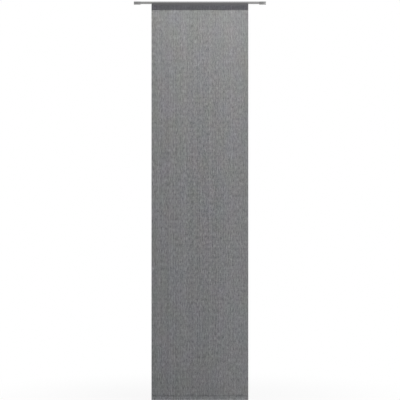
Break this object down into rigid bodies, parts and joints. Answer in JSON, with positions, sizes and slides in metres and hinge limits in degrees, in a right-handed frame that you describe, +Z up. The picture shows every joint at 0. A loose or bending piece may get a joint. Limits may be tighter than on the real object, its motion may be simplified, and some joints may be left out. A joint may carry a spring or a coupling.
{
  "type": "sliding panel curtain",
  "caption": "Flat hanging cloth panel with a weighted hem, on a carrier that slides along a short ceiling track with end caps.",
  "frame": {"origin": "middle of the track's flat top, the face that lies against the ceiling", "axes": "+X along the track to the right as seen from the front, -Y out of the cloth's front, +Z up into the ceiling"},
  "size_m": [0.819, 0.0257, 2.4715],
  "materials": {
    "track_aluminium": "satin anodised, brushed along its length",
    "satin_metal": "satin nickel plated casting",
    "carrier_aluminium": "dark grey anodised extrusion, brushed along its length",
    "bar_aluminium": "bare mill finish, drawn along its length",
    "zinc_steel": "zinc plated",
    "grey_plastic": "fine moulded texture",
    "white_plastic": "smooth moulded acetal",
    "hook_tape": "woven tape with stiff hooks",
    "loop_tape": "brushed loop pile",
    "slub_cloth": "flat woven polyester with vertical slubs, translucent"
  },
  "bodies": {
    "track": {"track_rail": "track_aluminium", "end_cap_left": "satin_metal", "end_cap_right": "satin_metal", "end_cap_screw_left": "zinc_steel", "end_cap_screw_right": "zinc_steel", "track_stop_left": "grey_plastic", "track_stop_right": "grey_plastic", "stop_screw_left": "zinc_steel", "stop_screw_right": "zinc_steel"},
    "panel": {"panel_carrier": "carrier_aluminium", "carrier_end_cap_left": "grey_plastic", "carrier_end_cap_right": "grey_plastic", "glider_1": "white_plastic", "glider_2": "white_plastic", "glider_3": "white_plastic", "glider_4": "white_plastic", "hook_tape": "hook_tape", "loop_tape": "loop_tape", "fabric_panel": "slub_cloth", "weight_bar": "bar_aluminium", "weight_bar_cap_left": "white_plastic", "weight_bar_cap_right": "white_plastic"}
  },
  "joints": [
    {"name": "panel_slide", "type": "slide", "parent": "track", "child": "panel", "axis": [1, 0, 0], "range_m": [-0.065, 0.065]}
  ]
}
